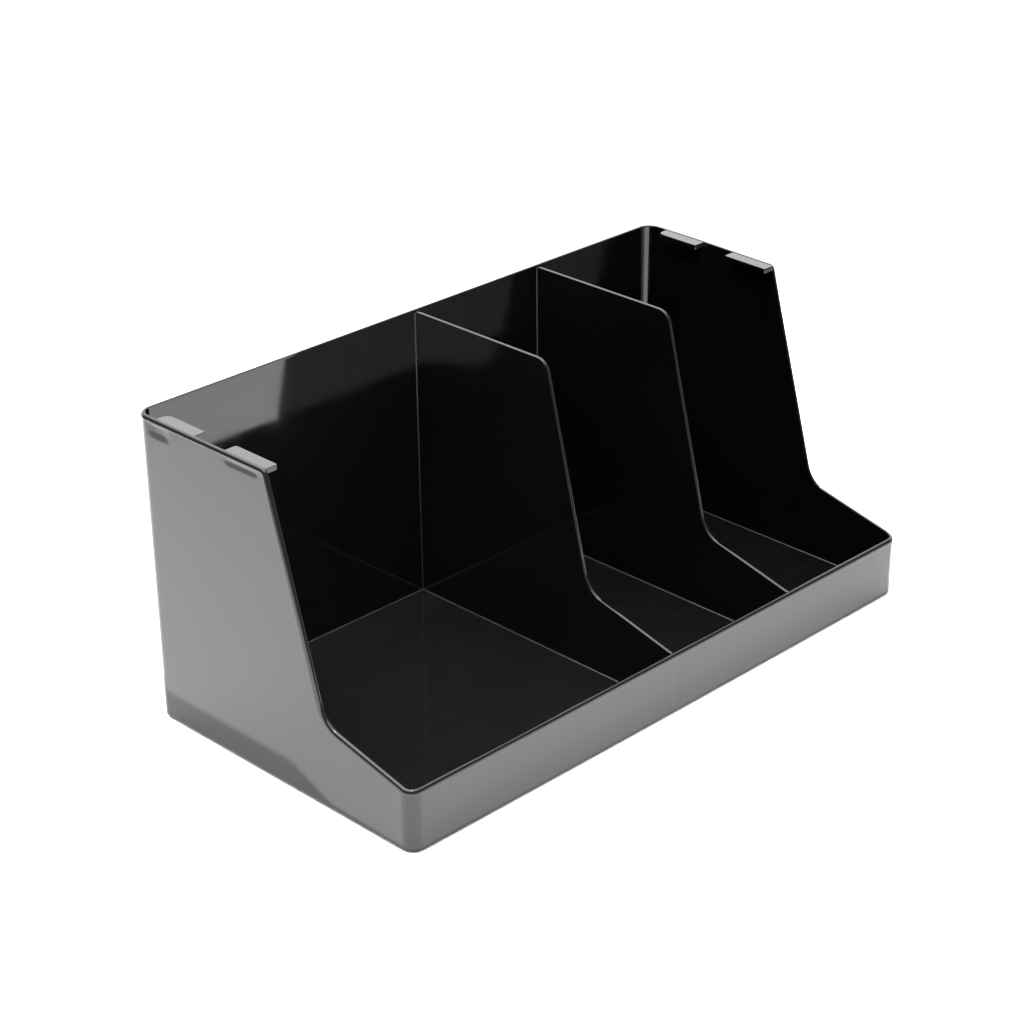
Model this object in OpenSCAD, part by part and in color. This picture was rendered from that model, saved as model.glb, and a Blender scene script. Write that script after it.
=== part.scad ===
// Countertop organizer: a glossy moulded tray with a high back, stepped sides and a low front lip,
// two upright dividers, four stacking ledges flush with the side rims, and four non-slip feet.
// Frame: +Z up, front towards -Y, origin on the tabletop under the middle of the tray. Millimetres.

/* [Tray] */
// Width over the rim bead
tray_w = 451; // [400:1:480]
// Depth over the rim bead
tray_d = 232; // [215:1:250]
// Height of the back and of the level side rims
tray_h = 205; // [190:1:230]
// Height of the front lip
lip_h = 42; // [36:1:48]
// Outer corner radius, seen from above, over the bead
corner_r = 11; // [10:0.5:16]
// Wall thickness
wall_t = 2.4; // [2:0.1:3]
// Floor thickness
floor_t = 2.6; // [2.4:0.1:3.2]
// How far each wall leans in between rim and base
draft = 2; // [0.6:0.1:2.4]

/* [Rim bead] */
// How far the bead stands out of the wall
bead_out = 0.4; // [0.3:0.1:1]
// Depth of the bead, measured square to the rim
bead_h = 2.3; // [1.8:0.1:3.4]

/* [Side outline] */
// Where the level rim ends, forwards of the middle
brow_y = -1.5; // [-6:0.1:4]
// Corner radius there on the side walls
brow_r = 4; // [4:0.5:8]
// Where the steep edge turns into the shallow one
knee_y = -42.3; // [-50:0.1:-36]
// Height of that turn
knee_z = 57.3; // [50:0.1:62]
// Radius of that turn
knee_r = 19; // [12:1:30]
// Length of the level front end of the side rims
nose_len = 7; // [4:0.5:12]
// Radius of the turn onto that level end
nose_r = 20; // [10:1:40]

/* [Dividers] */
// Divider thickness
divider_t = 2.2; // [1.8:0.1:2.6]
// Where a divider's level top ends, forwards of the middle
divider_brow_y = -2.9; // [-8:0.1:2]
// Where its steep edge turns into the shallow one
divider_knee_y = -40; // [-50:0.1:-36]
// Corner radius at the front of its level top
divider_brow_r = 10; // [6:0.5:16]
// How much lower the level ends of the dividers' top edges are than the rim
divider_dip = 1.2; // [0.5:0.1:2]

/* [Ledges] */
// Length of a front ledge along the side wall
front_ledge_len = 36; // [28:0.5:38]
// Length of a back ledge along the side wall
back_ledge_len = 34.5; // [30:0.5:40]
// How far a ledge stands in from the wall
ledge_reach = 8.6; // [6:0.1:10]
// Ledge thickness
ledge_t = 3.6; // [3:0.1:5]
// Gap between the front and back ledge on one side
ledge_gap = 27; // [18:0.5:28]
// Radius of a ledge's free corners
ledge_r = 1.2; // [0.8:0.1:2]

/* [Feet] */
// Foot diameter
foot_d = 14; // [10:1:18]
// Foot thickness
foot_t = 2; // [1.6:0.1:3]
// How deep a foot sits in its recess
foot_sunk = 1; // [0.6:0.1:1.2]
// Clearance round a foot in its recess
foot_clear = 0.2; // [0.1:0.1:0.4]
// Distance of a foot's centre in from both outer faces
foot_inset = 22; // [18:1:30]

/* [Hidden] */

plastic_colour = "#19191b";
rubber_colour = "#2b2b2d";
LEFT = -1;
RIGHT = 1;
FRONT = -1;
BACK = 1;
arc_steps = 14;
round_fn = 48;
over = 5;                                        // how far cutting shapes run past the tray

base_z = foot_t - foot_sunk;                     // underside of the shell
floor_z = base_z + floor_t;                      // top of the floor
edge_soft = 1.5;                                 // softened edge round the base
floor_soft = 1.5;                                // softened corner between walls and floor
axis_x = tray_w / 2 - corner_r;                  // the four corner axes, shared by every outline
axis_y = tray_d / 2 - corner_r;
outer_r = corner_r - bead_out;                   // outer face of the wall at the rim
inner_r = outer_r - wall_t;                      // inner face of the wall at the rim
lean = draft / (tray_h - base_z);                // lean of the walls per millimetre of height
inner_w = 2 * (axis_x + inner_r);                // clear width between the side rims
bay_w = (inner_w - 3 * divider_t) / 4;           // one narrow bay; the wide bay is two and a divider
right_divider_x = inner_w / 2 - bay_w - divider_t / 2;
centre_divider_x = right_divider_x - bay_w - divider_t;
front_ledge_y = brow_y + 1.2;                    // front ends of the front and of the back ledges
back_ledge_y = front_ledge_y + front_ledge_len + ledge_gap;

function unit(v) = v / norm(v);
function left_of(v) = [-v[1], v[0]];
function radius_at(r_rim, z) = r_rim - lean * (tray_h - z);

// Points of an arc of radius r that rounds the turn at b, on a path that comes from a and goes on to c.
function turn_arc(a, b, c, r) =
    let (u = unit(a - b), v = unit(c - b), half = acos(u * v) / 2,
         centre = b + unit(u + v) * r / sin(half),
         from = b + u * r / tan(half) - centre,
         to = b + v * r / tan(half) - centre,
         start = atan2(from[1], from[0]),
         sweep = (atan2(to[1], to[0]) - start + 540) % 360 - 180)
    [for (i = [0 : arc_steps]) centre + r * [cos(start + sweep * i / arc_steps),
                                             sin(start + sweep * i / arc_steps)]];

// The turn at b on a path moved sideways by inset, to the left of its direction of travel.
function inset_turn(a, b, c, inset) =
    let (n1 = left_of(unit(b - a)), n2 = left_of(unit(c - b)))
    b + inset * (n1 + n2) / (1 + n1 * n2);

// The top edge seen from the side, as [y, z] points from the back to the front, moved into the wall by
// inset. r is the corner radius at the brow, and dip lowers the level top and the level front end.
function top_edge(brow, knee, r, inset = 0, dip = 0) =
    let (far = tray_d / 2 + over,
         nose_y = nose_len - tray_d / 2,
         start = [far, tray_h - dip],
         brow_p = [brow, tray_h - dip],
         knee_p = [knee, knee_z + (knee - knee_y) * (knee_z - lip_h) / (knee_y - nose_y)],
         nose_p = [nose_y, lip_h - dip],
         end = [-far, lip_h - dip],
         a = start - [0, inset],
         b = inset_turn(start, brow_p, knee_p, inset),
         c = inset_turn(brow_p, knee_p, nose_p, inset),
         d = inset_turn(knee_p, nose_p, end, inset),
         e = end - [0, inset])
    concat([a], turn_arc(a, b, c, r - inset), turn_arc(b, c, d, knee_r + inset),
           turn_arc(c, d, e, nose_r + inset), [e]);

function rim_edge(inset = 0) = top_edge(brow_y, knee_y, brow_r, inset);
function divider_edge() = top_edge(divider_brow_y, divider_knee_y, divider_brow_r, dip = divider_dip);
function reversed(list) = [for (i = [len(list) - 1 : -1 : 0]) list[i]];

// Extrudes an outline given as [y, z] points along X, from x0 to x1.
module across(x0, x1) {
    translate([x0, 0, 0]) rotate([90, 0, 90]) linear_extrude(x1 - x0) children();
}

// A rounded block with leaning walls, from z0 to z1. soft bevels its lower edge.
module leaning_block(r_rim, z0, z1, soft = 0) {
    hull()
        for (sx = [LEFT, RIGHT], sy = [FRONT, BACK])
            translate([sx * axis_x, sy * axis_y, 0]) {
                translate([0, 0, z0 + soft])
                    cylinder(h = z1 - z0 - soft, r1 = radius_at(r_rim, z0 + soft),
                             r2 = radius_at(r_rim, z1), $fn = round_fn);
                if (soft > 0)
                    translate([0, 0, z0])
                        cylinder(h = soft, r1 = radius_at(r_rim, z0) - soft,
                                 r2 = radius_at(r_rim, z0 + soft), $fn = round_fn);
            }
}

// The space inside the walls, from the floor to past the rim.
module cavity() {
    leaning_block(inner_r, floor_z, tray_h + over, floor_soft);
}

// Everything under a top edge, from x0 to x1.
module below(edge, x0, x1) {
    across(x0, x1)
        polygon(concat(edge, [[-tray_d, lip_h - over], [-tray_d, -over], [tray_d, -over],
                              [tray_d, tray_h]]));
}

// The band that the bead fills, just under the rim.
module rim_band() {
    across(-tray_w, tray_w)
        polygon(concat(rim_edge(), reversed(rim_edge(bead_h))));
}

module foot_recess(sx, sy) {
    translate([sx * (tray_w / 2 - foot_inset), sy * (tray_d / 2 - foot_inset), -over])
        cylinder(h = over + foot_t, d = foot_d + 2 * foot_clear, $fn = round_fn);
}

module tray_shell() {
    color(plastic_colour)
        difference() {
            intersection() {
                union() {
                    leaning_block(outer_r, base_z, tray_h, edge_soft);
                    intersection() {
                        leaning_block(corner_r, base_z, tray_h);
                        rim_band();
                    }
                }
                below(rim_edge(), -tray_w, tray_w);
            }
            cavity();
            for (sx = [LEFT, RIGHT], sy = [FRONT, BACK]) foot_recess(sx, sy);
        }
}

module divider(x) {
    color(plastic_colour)
        intersection() {
            below(divider_edge(), x - divider_t / 2, x + divider_t / 2);
            cavity();
        }
}

module ledge(sx, y0, len) {
    far_x = axis_x + inner_r + over;
    near_x = axis_x + inner_r - ledge_reach;
    color(plastic_colour)
        intersection() {
            mirror([sx == LEFT ? 1 : 0, 0, 0])
                translate([0, y0, tray_h - ledge_t])
                    linear_extrude(ledge_t) {
                        translate([near_x + ledge_r, 0])
                            square([far_x - near_x - ledge_r, len]);
                        translate([near_x, ledge_r])
                            square([ledge_r, len - 2 * ledge_r]);
                        for (y = [ledge_r, len - ledge_r])
                            translate([near_x + ledge_r, y])
                                circle(r = ledge_r, $fn = round_fn);
                    }
            cavity();
        }
}

module foot(sx, sy) {
    color(rubber_colour)
        translate([sx * (tray_w / 2 - foot_inset), sy * (tray_d / 2 - foot_inset), 0])
            cylinder(h = foot_t, d = foot_d, $fn = round_fn);
}

tray_shell();
divider(centre_divider_x);  // centre_divider
divider(right_divider_x);  // right_divider
ledge(LEFT, front_ledge_y, front_ledge_len);  // ledge_front_left
ledge(RIGHT, front_ledge_y, front_ledge_len);  // ledge_front_right
ledge(LEFT, back_ledge_y, back_ledge_len);  // ledge_back_left
ledge(RIGHT, back_ledge_y, back_ledge_len);  // ledge_back_right
foot(LEFT, FRONT);  // foot_front_left
foot(RIGHT, FRONT);  // foot_front_right
foot(LEFT, BACK);  // foot_back_left
foot(RIGHT, BACK);  // foot_back_right
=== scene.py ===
"""Gloss-black three-bay countertop organizer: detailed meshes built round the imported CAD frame."""

import math

import bmesh
import bpy
from mathutils import Matrix, Vector

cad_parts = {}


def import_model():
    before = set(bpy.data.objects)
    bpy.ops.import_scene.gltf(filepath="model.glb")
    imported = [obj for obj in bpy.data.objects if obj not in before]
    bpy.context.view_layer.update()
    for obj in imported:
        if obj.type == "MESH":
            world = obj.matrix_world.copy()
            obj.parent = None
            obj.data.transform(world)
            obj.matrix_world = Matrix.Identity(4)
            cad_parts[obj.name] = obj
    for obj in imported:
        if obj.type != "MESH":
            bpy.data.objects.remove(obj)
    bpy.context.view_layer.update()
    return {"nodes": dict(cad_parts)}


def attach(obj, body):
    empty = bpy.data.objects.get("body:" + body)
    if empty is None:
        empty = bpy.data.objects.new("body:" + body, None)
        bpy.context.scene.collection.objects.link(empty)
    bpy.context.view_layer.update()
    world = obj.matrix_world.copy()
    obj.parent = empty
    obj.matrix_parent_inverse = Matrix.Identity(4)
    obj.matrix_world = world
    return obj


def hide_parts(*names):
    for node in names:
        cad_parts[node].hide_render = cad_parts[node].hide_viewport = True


MM = 0.001

# ---- Sizes in millimetres: those of the CAD part, then what only the looks need ------------------
TRAY_W, TRAY_D, TRAY_H = 451.0, 232.0, 205.0
LIP_H = 42.0
CORNER_R = 11.0
WALL_T = 2.4
FLOOR_T = 2.6
LEAN_TOTAL = 2.0
BEAD_OUT = 0.4
BEAD_H = 2.3
BEAD_DEEPER = 1.0                            # the bead is this much deeper along the slopes and the lip
BASE_Z = 1.0

AXIS_X = TRAY_W / 2 - CORNER_R              # the corner axes that every outline shares
AXIS_Y = TRAY_D / 2 - CORNER_R
OUTER_R = CORNER_R - BEAD_OUT
INNER_R = OUTER_R - WALL_T
FLOOR_Z = BASE_Z + FLOOR_T
LEAN = LEAN_TOTAL / (TRAY_H - BASE_Z)
NOSE_LEN = 7.0                               # length of the level front end of the side rims
NOSE_Y = NOSE_LEN - TRAY_D / 2

BROW_Y, KNEE_Y, KNEE_Z = -1.5, -42.3, 57.3
BROW_R, KNEE_R, NOSE_R = 4.0, 19.0, 20.0

DIVIDER_T = 2.2
DIVIDER_BROW_Y, DIVIDER_KNEE_Y, DIVIDER_BROW_R = -2.9, -40.0, 10.0
DIVIDER_DIP = 1.2
INNER_W = 2 * (AXIS_X + INNER_R)
BAY_W = (INNER_W - 3 * DIVIDER_T) / 4
RIGHT_DIVIDER_X = INNER_W / 2 - BAY_W - DIVIDER_T / 2
CENTRE_DIVIDER_X = RIGHT_DIVIDER_X - BAY_W - DIVIDER_T

LEDGE_T, LEDGE_REACH, LEDGE_R = 3.6, 8.6, 1.2
REAR_CORNER_R = 4.5                          # rear free corner of a back ledge
FRONT_LEDGE_LEN, BACK_LEDGE_LEN, LEDGE_GAP = 36.0, 34.5, 27.0
FRONT_LEDGE_Y = BROW_Y + 1.2
BACK_LEDGE_Y = FRONT_LEDGE_Y + FRONT_LEDGE_LEN + LEDGE_GAP
LEDGES = {"front": (FRONT_LEDGE_Y, FRONT_LEDGE_LEN), "back": (BACK_LEDGE_Y, BACK_LEDGE_LEN)}

CORNER_STEPS = 16
ARC_STEPS = 12
BASE_EDGE_R = 1.5
FLOOR_FILLET_R = 0.6
JOINT_FILLET_R = 0.7
# Dips in the outer face of a side wall behind its ledges: start, length, depth, lowest drop
SINKS = ((1.5, 34.0, 0.32, 8.8), (83.0, 20.0, 0.36, 12.5))
LINE_SINK_DEPTH = 0.05                       # faint dip in the wall behind each divider
TOE_IN = {1: 2.8, -1: 0.2}                   # how far a side wall's free top corner leans inwards
SLOPE_BACK = {1: 2.0, -1: 0.0}               # how far back a side wall's steep edge stands of its line
FRONT_BOW = 0.75                             # how far the foot of the front wall bows out

# ---- Camera and light, in metres, degrees and watts ----------------------------------------------
LENS, SENSOR = 89.87, 36                     # millimetres
CAMERA_TURN = (-45.239, 26.208, 0.231)       # azimuth, elevation, roll
CAMERA_PLACE = (-1.03998, -1.00370, 0.81114)
SHEET_R = 0.95                               # radius of the sheet that the organizer stands on
KEY_PLACE, KEY_POWER, KEY_R = (-0.157, -0.052, 1.0), 66.0, 0.011


def smooth(x):
    x = min(1.0, max(0.0, x))
    return x * x * (3 - 2 * x)


# ---- Outlines ----------------------------------------------------------------------------------

def turn_arc(a, b, c, radius):
    """Points of an arc that rounds the turn at b, on a path from a to c."""
    a, b, c = Vector(a), Vector(b), Vector(c)
    u, v = (a - b).normalized(), (c - b).normalized()
    half = u.angle(v) / 2
    centre = b + (u + v).normalized() * radius / math.sin(half)
    first = b + u * radius / math.tan(half) - centre
    last = b + v * radius / math.tan(half) - centre
    start = math.atan2(first.y, first.x)
    sweep = (math.atan2(last.y, last.x) - start + 3 * math.pi) % (2 * math.pi) - math.pi
    angles = (start + sweep * i / ARC_STEPS for i in range(ARC_STEPS + 1))
    return [centre + radius * Vector((math.cos(t), math.sin(t))) for t in angles]


def top_edge(brow_y, knee_y, brow_r, dip=0.0):
    """The top edge seen from the side, as (y, z) points from the back to the front."""
    far = TRAY_D / 2 + 5
    start, end = (far, TRAY_H - dip), (-far, LIP_H - dip)
    brow, nose = (brow_y, TRAY_H - dip), (NOSE_Y, LIP_H - dip)
    knee = (knee_y, KNEE_Z + (knee_y - KNEE_Y) * (KNEE_Z - LIP_H) / (KNEE_Y - NOSE_Y))
    return ([Vector(start)] + turn_arc(start, brow, knee, brow_r) + turn_arc(brow, knee, nose, KNEE_R)
            + turn_arc(knee, nose, end, NOSE_R) + [Vector(end)])


def height_at(edge, y):
    for p, q in zip(edge, edge[1:]):
        if q.x <= y <= p.x:
            return q.y + (p.y - q.y) * (y - q.x) / (p.x - q.x) if p.x > q.x else p.y
    raise ValueError(f"no edge at y = {y}")


def cut_edge(edge, y_back, y_front, step):
    """The edge between two y values, its straight runs divided so that no gap is over step."""
    points = [Vector((y_back, height_at(edge, y_back)))]
    points += [p for p in edge if y_front < p.x < y_back]
    points.append(Vector((y_front, height_at(edge, y_front))))
    result = [points[0]]
    for p, q in zip(points, points[1:]):
        n = max(1, math.ceil((q - p).length / step))
        result += [p.lerp(q, i / n) for i in range(1, n + 1)]
    return result


def slopes(points):
    """Unit direction of travel at each point, the mean of the runs that meet there."""
    runs = [(q - p).normalized() for p, q in zip(points, points[1:])]
    runs = [runs[0]] + runs + [runs[-1]]
    return [(p + q).normalized() for p, q in zip(runs, runs[1:])]


# ---- The tray shell: one cross-section carried round the rim ------------------------------------

class Station:
    """A place on the rim: its corner-axis point, the wall's normal, the rim height, and the direction
    in the wall's own plane that leads from the rim into the wall."""

    def __init__(self, core, normal, rim_z, inward):
        self.core = Vector((core[0], core[1]))
        self.normal = Vector((normal[0], normal[1]))
        self.rim_z = rim_z
        self.inward = inward

    def point(self, radius_rim, depth, drop=0.0, rise=None):
        """A point at a depth from the rim, then drop lower; rise gives a height instead."""
        shift = self.inward * depth
        z = self.rim_z + shift.z - drop if rise is None else rise
        plan = self.core + self.normal * (radius_rim - LEAN * (TRAY_H - z))
        return Vector((plan.x + shift.x, plan.y + shift.y, z))


def side_stations(sign, edge):
    points = cut_edge(edge, AXIS_Y, -AXIS_Y, 2.5)
    found = []
    for p, t in zip(points, slopes(points)):
        found.append(Station((sign * AXIS_X, p.x), (sign, 0), p.y, Vector((0, -t.y, t.x))))
    return found if sign > 0 else found[::-1]


def corner_stations(sx, sy, edge):
    """From one straight side to the next, going clockwise seen from above."""
    first = math.atan2(sy, sx) + math.pi / 4
    found = []
    for i in range(1, CORNER_STEPS):
        angle = first - math.pi / 2 * i / CORNER_STEPS
        n = Vector((math.cos(angle), math.sin(angle)))
        if sy > 0:
            found.append(Station((sx * AXIS_X, AXIS_Y), n, TRAY_H, Vector((0, 0, -1))))
            continue
        y = -AXIS_Y + CORNER_R * n.y
        z = height_at(edge, y)
        along = Vector((n.y, -n.x, 0))
        gradient = (height_at(edge, y + 0.5) - height_at(edge, y - 0.5)) * along.y
        tilt = math.atan(gradient)
        inward = along * math.sin(tilt) - Vector((0, 0, 1)) * math.cos(tilt)
        found.append(Station((sx * AXIS_X, -AXIS_Y), n, z, inward))
    return found


def straight_stations(sy):
    """The front (sy -1, right to left) or back (sy +1, left to right), fine behind the dividers."""
    xs = {AXIS_X * i / 12 for i in range(-12, 13)}
    for x in (CENTRE_DIVIDER_X, RIGHT_DIVIDER_X):
        xs = {v for v in xs if abs(v - x) > 5} | {x + 0.5 * i for i in range(-8, 9)}
    z = LIP_H if sy < 0 else TRAY_H
    order = sorted(xs, reverse=sy < 0)
    return [Station((x, sy * AXIS_Y), (0, sy), z, Vector((0, 0, -1))) for x in order]


def rim_section(deeper):
    """Cross-section of the rim from the outer wall over the bead to the inner wall:
    (offset from the outer face of the wall, depth below the rim). deeper adds to the bead."""
    low = BEAD_H + deeper
    section = [(0.0, low + 0.45), (0.02, low + 0.32), (0.08, low + 0.16), (0.17, low + 0.05)]
    section += [(BEAD_OUT - 0.2 + 0.2 * math.sin(t), low - 0.22 + 0.2 * math.cos(t))
                for t in (math.radians(a) for a in (30, 60, 90))]
    first = math.radians(12)
    across, down = 1.7, (low - 0.22) / (1 - math.sin(first))
    section += [(BEAD_OUT - across * (math.cos(first) - math.cos(t)), down * (1 - math.sin(t)))
                for t in (first + (math.pi / 2 - first) * i / 10 for i in range(11))]
    round_in = 0.35
    section += [(-WALL_T + round_in - round_in * math.sin(t), round_in - round_in * math.cos(t))
                for t in (math.radians(a) for a in range(0, 91, 18))]
    return section + [(-WALL_T, 1.4), (-WALL_T, low + 0.45)]


def ledge_dimple(y, z):
    """How far the outer side wall is drawn in behind the ledges."""
    drop = TRAY_H - z
    depth = 0.0
    for start, length, deepest, lowest in SINKS:
        along = smooth((y - start) / 5) * smooth((start + length - y) / 5)
        depth += deepest * along * smooth((drop - 2.8) / 1.6) * smooth((lowest - drop) / 5)
    return depth


def divider_dimple(x):
    """How far the front and back walls are drawn in behind the dividers."""
    depth = 0.0
    for centre in (CENTRE_DIVIDER_X, RIGHT_DIVIDER_X):
        depth += LINE_SINK_DEPTH * smooth(1 - abs(x - centre) / 2.2)
    return depth


def warp(co):
    """The small distortions of a thin moulding: a side wall's free front top corner leans in, and the
    foot of the front wall bows out."""
    sign = 1 if co.x > 0 else -1
    reach = smooth((abs(co.x) - 150) / 40) * smooth((90 - co.y) / 100)
    rise = max(0.0, (co.z - 40) / (TRAY_H - 40))
    x = co.x - sign * TOE_IN[sign] * reach * rise ** 1.2
    bow = FRONT_BOW * (1 - (co.x / TRAY_W * 2) ** 2) * smooth((LIP_H - co.z) / LIP_H + 0.04)
    return Vector((x, co.y - bow * smooth((-100 - co.y) / 8), co.z))


def new_object(name, verts, faces, joints=()):
    """A mesh object from millimetre points. The faces numbered in joints take its second material."""
    mesh = bpy.data.meshes.new(name)
    mesh.from_pydata([Vector(v) * MM for v in verts], [], faces)
    for i in joints:
        mesh.polygons[i].material_index = 1
    bm = bmesh.new()
    bm.from_mesh(mesh)
    bmesh.ops.remove_doubles(bm, verts=bm.verts, dist=0.002 * MM)
    bmesh.ops.recalc_face_normals(bm, faces=bm.faces)
    bm.to_mesh(mesh)
    bm.free()
    mesh.polygons.foreach_set("use_smooth", [True] * len(mesh.polygons))
    mesh.set_sharp_from_angle(angle=math.radians(38))
    obj = bpy.data.objects.new(name, mesh)
    bpy.context.scene.collection.objects.link(obj)
    return obj


def tray_shell():
    right, left = (top_edge(BROW_Y + SLOPE_BACK[s], KNEE_Y + SLOPE_BACK[s], BROW_R) for s in (1, -1))
    stations = (side_stations(1, right) + corner_stations(1, -1, right) + straight_stations(-1)
                + corner_stations(-1, -1, left) + side_stations(-1, left)
                + corner_stations(-1, 1, left) + straight_stations(1) + corner_stations(1, 1, right))
    drops = [0.2] + [0.6 * i for i in range(1, 16)] + [9.8, 10.6, 11.6, 14.0]  # close at the dips
    shares = [0.2, 0.45, 0.7, 0.9]
    quarter = [math.radians(a) for a in (0, 15, 30, 45, 60, 75, 90)]
    columns = []
    for s in stations:
        section = rim_section(BEAD_DEEPER * smooth((TRAY_H - s.rim_z) / 30))
        depth = section[0][1]

        def wall(radius, bottom):
            top = s.rim_z + s.inward.z * depth
            heights = [top - d for d in drops]
            heights += [heights[-1] + (bottom - heights[-1]) * f for f in shares + [1.0]]
            found = []
            for z in heights:
                p = s.point(radius, depth, rise=z)
                if radius == OUTER_R:
                    dimple = ledge_dimple(p.y, z) if s.normal.y == 0 else 0.0
                    dimple += divider_dimple(p.x) if s.normal.x == 0 else 0.0
                    p -= Vector((s.normal.x, s.normal.y, 0)) * dimple
                found.append(p)
            return found

        outer = wall(OUTER_R, BASE_Z + BASE_EDGE_R + 0.3)
        inner = wall(INNER_R, FLOOR_Z + FLOOR_FILLET_R + 0.3)
        base = [s.point(OUTER_R - BASE_EDGE_R - 0.6, depth, rise=BASE_Z)]
        for t in quarter:
            out, up = BASE_EDGE_R * (1 - math.sin(t)), BASE_EDGE_R * (1 - math.cos(t))
            base.append(s.point(OUTER_R - out, depth, rise=BASE_Z + up))
        rim = [s.point(OUTER_R + offset, d) for offset, d in section]
        floor = []
        for t in quarter:
            out, up = FLOOR_FILLET_R * (1 - math.cos(t)), FLOOR_FILLET_R * (1 - math.sin(t))
            floor.append(s.point(INNER_R - out, depth, rise=FLOOR_Z + up))
        floor.append(s.point(INNER_R - FLOOR_FILLET_R - 0.4, depth, rise=FLOOR_Z))
        columns.append([warp(p) for p in base + outer[::-1] + rim + inner + floor])

    rows = len(columns[0])
    verts = [p for column in columns for p in column]
    faces = []
    for i in range(len(columns)):
        a, b = i * rows, (i + 1) % len(columns) * rows
        faces += [(a + j, a + j + 1, b + j + 1, b + j) for j in range(rows - 1)]
    # The floor fillet faces take the joint material, whose lighter tint is a painted highlight.
    fillet = range(rows - 1 - len(quarter), rows - 2)
    joints = [i * (rows - 1) + j for i in range(len(columns)) for j in fillet]
    faces.append([i * rows for i in range(len(columns))])
    faces.append([i * rows + rows - 1 for i in range(len(columns))])
    return new_object("tray_shell_visual", verts, faces, joints)


# ---- Dividers ----------------------------------------------------------------------------------

def concave_strip(verts, faces, start, end, u, v, radius, steps=6):
    """A small fillet along the inner corner from start to end, between surfaces along u and v."""
    first = len(verts)
    ring = [-0.3 * (u + v), radius * u - 0.3 * v]
    for i in range(steps + 1):
        t = math.pi / 2 * i / steps
        ring.append(radius * (u + v) - radius * (math.cos(t) * v + math.sin(t) * u))
    ring.append(radius * v - 0.3 * u)
    for end_point in (start, end):
        verts += [end_point + offset for offset in ring]
    n = len(ring)
    faces += [(first + i, first + (i + 1) % n, first + n + (i + 1) % n, first + n + i) for i in range(n)]
    faces += [[first + i for i in range(n)], [first + n + i for i in range(n)]]


def divider(name, x):
    edge = top_edge(DIVIDER_BROW_Y, DIVIDER_KNEE_Y, DIVIDER_BROW_R, DIVIDER_DIP)
    back_y = AXIS_Y + INNER_R + 0.3
    front_y = -(AXIS_Y + INNER_R + 0.2)
    points = cut_edge(edge, back_y, front_y, 12)
    half, soft = DIVIDER_T / 2, 0.45
    depth = soft + 0.4
    section = [(-half, depth)]
    arc = [math.radians(a) for a in (0, 18, 36, 54, 72, 90)]
    section += [(-half + soft - soft * math.cos(t), soft - soft * math.sin(t)) for t in arc]
    section += [(-o, d) for o, d in section[::-1]]
    verts, faces = [], []
    for p, t in zip(points, slopes(points)):
        def at(offset, d, drop=0.0):
            return Vector((x + offset, p.x - t.y * d, p.y + t.x * d - drop))
        top = at(0, depth).z
        lower = [top - 0.4 - (top - 0.4 - FLOOR_Z + 0.3) * f for f in (0, 0.33, 0.66, 1.0)]
        column = [Vector((x - half, at(0, depth).y, z)) for z in lower[::-1]]
        column += [at(o, d) for o, d in section]
        column += [Vector((x + half, at(0, depth).y, z)) for z in lower]
        verts += column
    rows = len(verts) // len(points)
    for i in range(len(points) - 1):
        a, b = i * rows, (i + 1) * rows
        faces += [(a + j, a + (j + 1) % rows, b + (j + 1) % rows, b + j) for j in range(rows)]
    faces += [[j for j in range(rows)], [(len(points) - 1) * rows + j for j in range(rows)]]
    # The fillet strips built after this take the joint material, whose lighter tint is a painted highlight.
    plain = len(faces)
    up, back = Vector((0, 0, 1)), Vector((0, 1, 0))
    for side in (-1, 1):
        out = Vector((side, 0, 0))
        face_x = x + side * half
        floor_back = Vector((face_x, AXIS_Y + INNER_R - 1.1, FLOOR_Z))
        floor_front = Vector((face_x, -(AXIS_Y + INNER_R - 1.1), FLOOR_Z))
        concave_strip(verts, faces, floor_back, floor_front, out, up, JOINT_FILLET_R)
        wall_foot = Vector((face_x, AXIS_Y + INNER_R - LEAN_TOTAL, FLOOR_Z))
        wall_top = Vector((face_x, AXIS_Y + INNER_R, TRAY_H - DIVIDER_DIP - 0.8))
        concave_strip(verts, faces, wall_foot, wall_top, out, -back, JOINT_FILLET_R)
        lip_foot = Vector((face_x, -(AXIS_Y + INNER_R - LEAN_TOTAL), FLOOR_Z))
        lip_top = Vector((face_x, -(AXIS_Y + INNER_R - LEAN_TOTAL * 0.8), LIP_H - DIVIDER_DIP - 0.8))
        concave_strip(verts, faces, lip_foot, lip_top, out, back, JOINT_FILLET_R)
    return new_object(name, verts, faces, range(plain, len(faces)))


# ---- Stacking ledges ---------------------------------------------------------------------------

def ledge_outline(length, back_r):
    """Plan of a ledge, from the wall: (distance in from the wall, distance along it)."""
    reach, root = LEDGE_REACH, -0.4
    front = turn_arc((root, 0), (reach, 0), (reach, length), LEDGE_R)
    back = turn_arc((reach, 0), (reach, length), (root, length), back_r)
    return [Vector((root, 0))] + front + back + [Vector((root, length))]


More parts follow.
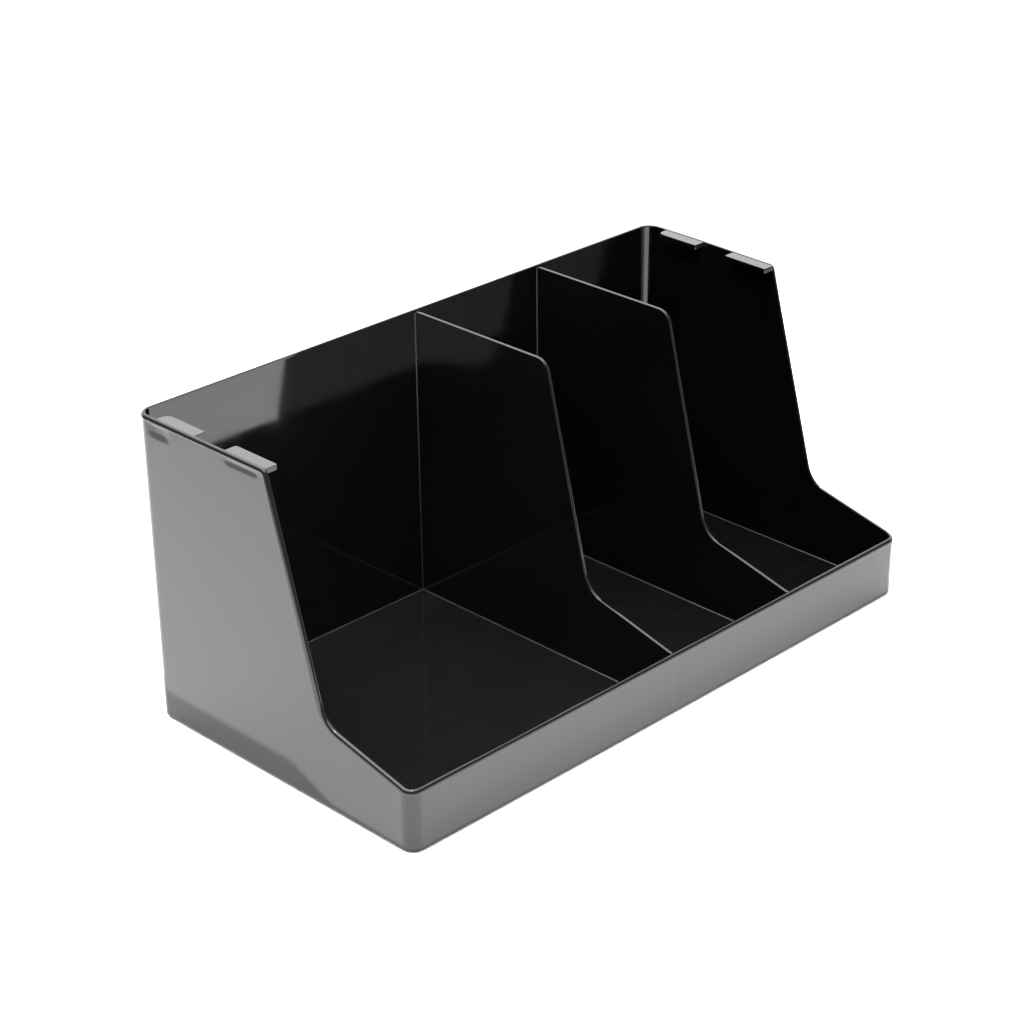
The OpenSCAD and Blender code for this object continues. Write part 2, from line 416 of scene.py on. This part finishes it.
def ledge(name, sign, start, length, back_r):
    plan = ledge_outline(length, back_r)
    middle = Vector((LEDGE_REACH / 2, length / 2))
    soft = 0.35
    top = TRAY_H - 0.25
    rings = [(0.6, TRAY_H - LEDGE_T), (0.15, TRAY_H - LEDGE_T), (0.0, TRAY_H - LEDGE_T + 0.15)]
    rings += [(soft - soft * math.cos(t), top - soft + soft * math.sin(t))
              for t in (math.radians(a) for a in (0, 22, 45, 67, 90))]
    rings.append((soft + 0.25, top))
    verts, faces = [], []
    n = len(plan)
    for inset, z in rings:
        for p in plan:
            pull = Vector((min(1.0, inset / LEDGE_REACH * 2), min(1.0, inset / length * 2)))
            q = Vector((p.x - (p.x - middle.x) * pull.x, p.y - (p.y - middle.y) * pull.y))
            verts.append(warp(Vector((sign * (AXIS_X + INNER_R - q.x), start + q.y, z))))
    for k in range(len(rings) - 1):
        faces += [(k * n + i, k * n + (i + 1) % n, (k + 1) * n + (i + 1) % n, (k + 1) * n + i)
                  for i in range(n)]
    faces += [[i for i in range(n)], [(len(rings) - 1) * n + i for i in range(n)]]
    return new_object(name, verts, faces)


# ---- Materials ---------------------------------------------------------------------------------

class Nodes:
    """Short calls for building a node tree."""

    def __init__(self, name):
        self.material = bpy.data.materials.new(name)
        self.material.use_nodes = True
        self.tree = self.material.node_tree
        self.bsdf = self.tree.nodes["Principled BSDF"]

    def add(self, kind, **values):
        node = self.tree.nodes.new(kind)
        for key, value in values.items():
            setattr(node, key, value)
        return node

    def link(self, source, target):
        self.tree.links.new(source, target)

    def noise(self, coords, scale, detail=2.0, stretch=None):
        if stretch is not None:
            mapping = self.add("ShaderNodeMapping")
            mapping.inputs["Scale"].default_value = stretch
            self.link(coords, mapping.inputs["Vector"])
            coords = mapping.outputs["Vector"]
        node = self.add("ShaderNodeTexNoise")
        node.inputs["Scale"].default_value = scale
        node.inputs["Detail"].default_value = detail
        self.link(coords, node.inputs["Vector"])
        return node.outputs["Fac"]

    def remap(self, value, low, high, to_low, to_high):
        node = self.add("ShaderNodeMapRange")
        for key, number in (("From Min", low), ("From Max", high), ("To Min", to_low), ("To Max", to_high)):
            node.inputs[key].default_value = number
        self.link(value, node.inputs["Value"])
        return node.outputs["Result"]

    def math(self, operation, a, b=None):
        node = self.add("ShaderNodeMath", operation=operation)
        for socket, value in zip(node.inputs, (a, b)):
            if value is None:
                continue
            if isinstance(value, (int, float)):
                socket.default_value = value
            else:
                self.link(value, socket)
        return node.outputs["Value"]

    def bump(self, height, strength, distance, normal=None):
        node = self.add("ShaderNodeBump")
        node.inputs["Strength"].default_value = strength
        node.inputs["Distance"].default_value = distance
        self.link(height, node.inputs["Height"])
        if normal is not None:
            self.link(normal, node.inputs["Normal"])
        return node.outputs["Normal"]


def gloss_black():
    """Near-black gloss, a little lighter towards the left as painted light for the more open wide bay, and
    on the floor, which is scuffed and has a painted highlight along the back wall.
    """
    m = Nodes("gloss_black_plastic")
    coords = m.add("ShaderNodeTexCoord").outputs["Object"]
    flow = m.noise(coords, 9, 2)
    cloud = m.noise(coords, 28, 4)
    specks = m.noise(coords, 900, 2)
    roughness = m.math("ADD", m.remap(cloud, 0.3, 0.7, 0.045, 0.085), m.remap(specks, 0.68, 0.8, 0.0, 0.12))
    m.link(roughness, m.bsdf.inputs["Roughness"])
    place = m.add("ShaderNodeSeparateXYZ")
    m.link(coords, place.inputs["Vector"])
    scuffs = m.remap(m.noise(coords, 80, 3, stretch=(0.3, 2.0, 1.0)), 0.5, 0.7, 0.2, 0.32)
    # Painted highlight: the floor is lighter in a narrow band along the foot of the back wall; the scuffs
    # added with it are wear.
    painted_highlight_band = m.remap(place.outputs["Y"], 0.082, 0.086, 0.0, 0.12)
    on_floor = m.remap(place.outputs["Z"], 0.004, 0.0055, 1.0, 0.0)
    low = m.math("MULTIPLY", on_floor, m.math("ADD", scuffs, painted_highlight_band))
    # Painted light: the colour lightens towards the left, for the extra light that reaches the open wide
    # bay.
    lighter = m.math("ADD", low, m.remap(place.outputs["X"], -0.1, 0.16, 0.34, 0.0))
    tint = m.add("ShaderNodeMix", data_type="RGBA")
    tint.inputs["A"].default_value = (0.0006, 0.0006, 0.0006, 1)
    tint.inputs["B"].default_value = (0.0060, 0.0060, 0.0062, 1)
    m.link(m.math("ADD", m.remap(flow, 0.3, 0.7, 0.0, 0.12), lighter), tint.inputs["Factor"])
    m.link(tint.outputs["Result"], m.bsdf.inputs["Base Color"])
    m.bsdf.inputs["IOR"].default_value = 1.5
    ripple = m.bump(m.noise(coords, 14, 1), 0.12, 0.0012)
    peel = m.bump(m.noise(coords, 260, 1), 0.05, 0.00004, ripple)
    m.link(peel, m.bsdf.inputs["Normal"])
    return m.material


def satin_black():
    """The fine matt texture on the ledge tops."""
    m = Nodes("satin_black_plastic")
    coords = m.add("ShaderNodeTexCoord").outputs["Object"]
    grain = m.noise(coords, 1500, 3)
    brushed = m.noise(coords, 900, 2, stretch=(3.0, 0.25, 1.0))
    m.link(m.remap(grain, 0.3, 0.7, 0.15, 0.25), m.bsdf.inputs["Roughness"])
    tint = m.add("ShaderNodeMix", data_type="RGBA")
    tint.inputs["A"].default_value = (0.022, 0.022, 0.0225, 1)
    tint.inputs["B"].default_value = (0.048, 0.048, 0.049, 1)
    m.link(grain, tint.inputs["Factor"])
    m.link(tint.outputs["Result"], m.bsdf.inputs["Base Color"])
    m.bsdf.inputs["IOR"].default_value = 1.5
    fine = m.bump(grain, 0.25, 0.00006)
    m.link(m.bump(brushed, 0.2, 0.00008, fine), m.bsdf.inputs["Normal"])
    return m.material


def painted_highlight_joint():
    """Rougher plastic in the filleted inside corners, lighter than the gloss as a painted highlight along
    each joint.
    """
    m = Nodes("joint_painted_highlight_plastic")
    coords = m.add("ShaderNodeTexCoord").outputs["Object"]
    grain = m.noise(coords, 120, 3)
    m.link(m.remap(grain, 0.3, 0.7, 0.25, 0.4), m.bsdf.inputs["Roughness"])
    # Painted highlight: this lighter tint makes the fillets show as bright lines.
    tint = m.add("ShaderNodeMix", data_type="RGBA")
    tint.inputs["A"].default_value = (0.006, 0.006, 0.0062, 1)
    tint.inputs["B"].default_value = (0.017, 0.017, 0.0175, 1)
    m.link(grain, tint.inputs["Factor"])
    m.link(tint.outputs["Result"], m.bsdf.inputs["Base Color"])
    m.bsdf.inputs["IOR"].default_value = 1.5
    return m.material


def foot_rubber():
    m = Nodes("foot_rubber")
    coords = m.add("ShaderNodeTexCoord").outputs["Object"]
    grain = m.noise(coords, 1100, 4)
    m.link(m.remap(grain, 0.3, 0.7, 0.7, 0.9), m.bsdf.inputs["Roughness"])
    tint = m.add("ShaderNodeMix", data_type="RGBA")
    tint.inputs["A"].default_value = (0.018, 0.018, 0.019, 1)
    tint.inputs["B"].default_value = (0.034, 0.034, 0.036, 1)
    m.link(grain, tint.inputs["Factor"])
    m.link(tint.outputs["Result"], m.bsdf.inputs["Base Color"])
    m.link(m.bump(grain, 0.4, 0.0001), m.bsdf.inputs["Normal"])
    return m.material


def studio_white():
    """White that greys towards the edge of the sheet."""
    m = Nodes("studio_white")
    coords = m.add("ShaderNodeTexCoord").outputs["Object"]
    distance = m.add("ShaderNodeVectorMath", operation="LENGTH")
    m.link(coords, distance.inputs[0])
    tint = m.add("ShaderNodeMix", data_type="RGBA")
    tint.inputs["A"].default_value = (0.82, 0.82, 0.82, 1)
    tint.inputs["B"].default_value = (0.36, 0.36, 0.36, 1)
    m.link(m.remap(distance.outputs["Value"], 0.63, 0.72, 0.0, 1.0), tint.inputs["Factor"])
    m.link(tint.outputs["Result"], m.bsdf.inputs["Base Color"])
    m.bsdf.inputs["Roughness"].default_value = 0.9
    m.bsdf.inputs["Specular IOR Level"].default_value = 0.1
    return m.material


def set_material(obj, *materials):
    """Materials in slot order. The faces' slot numbers are kept."""
    numbers = [polygon.material_index for polygon in obj.data.polygons]
    obj.data.materials.clear()
    for material in materials:
        obj.data.materials.append(material)
    if len(materials) > 1:
        obj.data.polygons.foreach_set("material_index", numbers)


# ---- Stage -------------------------------------------------------------------------------------

def look_camera():
    data = bpy.data.cameras.new("camera")
    data.sensor_width = SENSOR
    data.lens = LENS
    camera = bpy.data.objects.new("camera", data)
    bpy.context.scene.collection.objects.link(camera)
    azimuth, elevation, roll = (math.radians(a) for a in CAMERA_TURN)
    back = Vector((math.sin(azimuth) * math.cos(elevation), -math.cos(azimuth) * math.cos(elevation),
                   math.sin(elevation)))
    right = (-back).cross(Vector((0, 0, 1))).normalized()
    up = back.cross(right)
    turned_right = right * math.cos(roll) - up * math.sin(roll)
    turned_up = up * math.cos(roll) + right * math.sin(roll)
    rotation = Matrix((turned_right, turned_up, back)).transposed().to_4x4()
    camera.matrix_world = Matrix.Translation(CAMERA_PLACE) @ rotation
    bpy.context.scene.camera = camera


def floor():
    mesh = bpy.data.meshes.new("floor")
    bm = bmesh.new()
    bmesh.ops.create_circle(bm, cap_ends=True, radius=SHEET_R, segments=128)
    bm.to_mesh(mesh)
    bm.free()
    obj = bpy.data.objects.new("floor", mesh)
    bpy.context.scene.collection.objects.link(obj)
    set_material(obj, studio_white())


def lights():
    """A small key lamp, and a grey world that is brighter behind and overhead."""
    key = bpy.data.lights.new("key", "POINT")
    key.energy = KEY_POWER
    key.shadow_soft_size = KEY_R
    lamp = bpy.data.objects.new("key", key)
    lamp.location = KEY_PLACE
    lamp.visible_camera = False
    bpy.context.scene.collection.objects.link(lamp)

    world = bpy.data.worlds.new("studio")
    bpy.context.scene.world = world
    world.use_nodes = True
    tree = world.node_tree
    background = tree.nodes["Background"]
    coords = tree.nodes.new("ShaderNodeTexCoord")
    separate = tree.nodes.new("ShaderNodeSeparateXYZ")
    tree.links.new(coords.outputs["Generated"], separate.inputs["Vector"])

    def maths(operation, a, b):
        node = tree.nodes.new("ShaderNodeMath")
        node.operation = operation
        for socket, value in zip(node.inputs, (a, b)):
            if isinstance(value, (int, float)):
                socket.default_value = value
            else:
                tree.links.new(value, socket)
        return node.outputs["Value"]

    def ramp(value, low, high, to_low, to_high):
        node = tree.nodes.new("ShaderNodeMapRange")
        node.interpolation_type = "SMOOTHSTEP"
        limits = (("From Min", low), ("From Max", high), ("To Min", to_low), ("To Max", to_high))
        for key_name, number in limits:
            node.inputs[key_name].default_value = number
        tree.links.new(value, node.inputs["Value"])
        return node.outputs["Result"]

    behind = maths("MULTIPLY", maths("ADD", separate.outputs["X"], separate.outputs["Y"]), 0.7)
    across = maths("SUBTRACT", maths("MULTIPLY", separate.outputs["Y"], 0.5), separate.outputs["X"])
    sweep = ramp(behind, 0.25, 0.6, 0.0, 1.6)
    overhead = ramp(separate.outputs["Z"], 0.6, 0.75, 0.0, 1.0)
    ceiling = maths("MULTIPLY", overhead, ramp(across, -0.65, 0.45, 1.6, 6.5))
    total = maths("ADD", maths("ADD", sweep, ceiling), 0.45)
    tree.links.new(total, background.inputs["Color"])


def main():
    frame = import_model()
    look_camera()
    floor()
    lights()
    gloss, satin, joint, rubber = gloss_black(), satin_black(), painted_highlight_joint(), foot_rubber()

    pieces = {"tray_shell": tray_shell(),
              "centre_divider": divider("centre_divider_visual", CENTRE_DIVIDER_X),
              "right_divider": divider("right_divider_visual", RIGHT_DIVIDER_X)}
    for row, (start, length) in LEDGES.items():
        for side, sign in (("left", -1), ("right", 1)):
            back_r = REAR_CORNER_R if row == "back" else LEDGE_R
            node = f"ledge_{row}_{side}"
            pieces[node] = ledge(f"{node}_visual", sign, start, length, back_r)
    for node, piece in pieces.items():
        if node.startswith("ledge"):
            set_material(piece, gloss, satin)
            for polygon in piece.data.polygons:
                polygon.material_index = 1 if polygon.normal.z > 0.9 else 0
        else:
            # Fillet faces take the joint material, lighter as a painted highlight.
            set_material(piece, gloss, joint)
        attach(piece, "root")
        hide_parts(node)
    for node, obj in frame["nodes"].items():
        if node.startswith("foot"):
            set_material(obj, rubber)

    bpy.context.scene.view_settings.view_transform = "Standard"


main()
